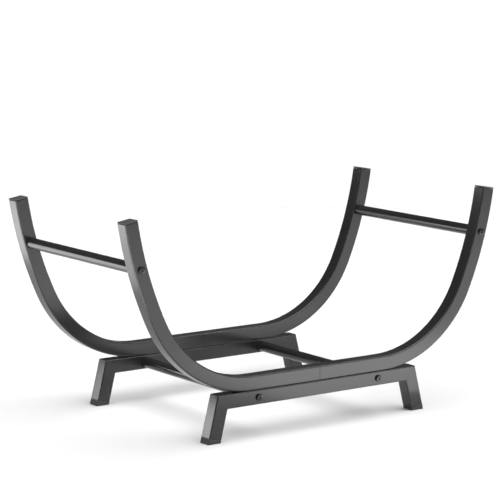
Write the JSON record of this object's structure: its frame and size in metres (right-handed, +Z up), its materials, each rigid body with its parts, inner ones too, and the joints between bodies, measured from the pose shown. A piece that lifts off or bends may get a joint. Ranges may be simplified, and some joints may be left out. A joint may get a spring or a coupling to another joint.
{
  "type": "firewood log rack",
  "caption": "Steel firewood rack: square-tube cradles curve up from splayed bases, front and rear, and bolted round bars join them, with plastic caps on arm tips and feet.",
  "frame": {"origin": "on the floor, under the middle of the rack", "axes": "+X along the rack's length, from the left arms to the right arms; -Y towards the front cradle; +Z up"},
  "size_m": [0.7774, 0.3822, 0.3866],
  "materials": {
    "powder_coat": "satin dark grey powder coat with a very fine texture",
    "cap_plastic": "moulded dark grey plastic, matt",
    "bolt_steel": "black zinc plated",
    "zinc_steel": "bright zinc plated"
  },
  "bodies": {
    "root": {"front_base_beam": "powder_coat", "front_splice_sleeve": "zinc_steel", "front_left_cradle_half": "powder_coat", "front_left_end_cap": "cap_plastic", "front_left_leg": "powder_coat", "front_left_foot_cap": "cap_plastic", "front_left_cradle_bolt": "bolt_steel", "front_left_cradle_nut": "zinc_steel", "front_right_cradle_half": "powder_coat", "front_right_end_cap": "cap_plastic", "front_right_leg": "powder_coat", "front_right_foot_cap": "cap_plastic", "front_right_cradle_bolt": "bolt_steel", "front_right_cradle_nut": "zinc_steel", "rear_base_beam": "powder_coat", "rear_splice_sleeve": "zinc_steel", "rear_left_cradle_half": "powder_coat", "rear_left_end_cap": "cap_plastic", "rear_left_leg": "powder_coat", "rear_left_foot_cap": "cap_plastic", "rear_left_cradle_bolt": "bolt_steel", "rear_left_cradle_nut": "zinc_steel", "rear_right_cradle_half": "powder_coat", "rear_right_end_cap": "cap_plastic", "rear_right_leg": "powder_coat", "rear_right_foot_cap": "cap_plastic", "rear_right_cradle_bolt": "bolt_steel", "rear_right_cradle_nut": "zinc_steel", "upper_left_bar": "powder_coat", "upper_left_bar_front_insert": "zinc_steel", "upper_left_bar_front_bolt": "bolt_steel", "upper_left_bar_rear_insert": "zinc_steel", "upper_left_bar_rear_bolt": "bolt_steel", "upper_right_bar": "powder_coat", "upper_right_bar_front_insert": "zinc_steel", "upper_right_bar_front_bolt": "bolt_steel", "upper_right_bar_rear_insert": "zinc_steel", "upper_right_bar_rear_bolt": "bolt_steel", "lower_left_bar": "powder_coat", "lower_left_bar_front_insert": "zinc_steel", "lower_left_bar_front_bolt": "bolt_steel", "lower_left_bar_rear_insert": "zinc_steel", "lower_left_bar_rear_bolt": "bolt_steel", "lower_right_bar": "powder_coat", "lower_right_bar_front_insert": "zinc_steel", "lower_right_bar_front_bolt": "bolt_steel", "lower_right_bar_rear_insert": "zinc_steel", "lower_right_bar_rear_bolt": "bolt_steel"}
  },
  "joints": []
}
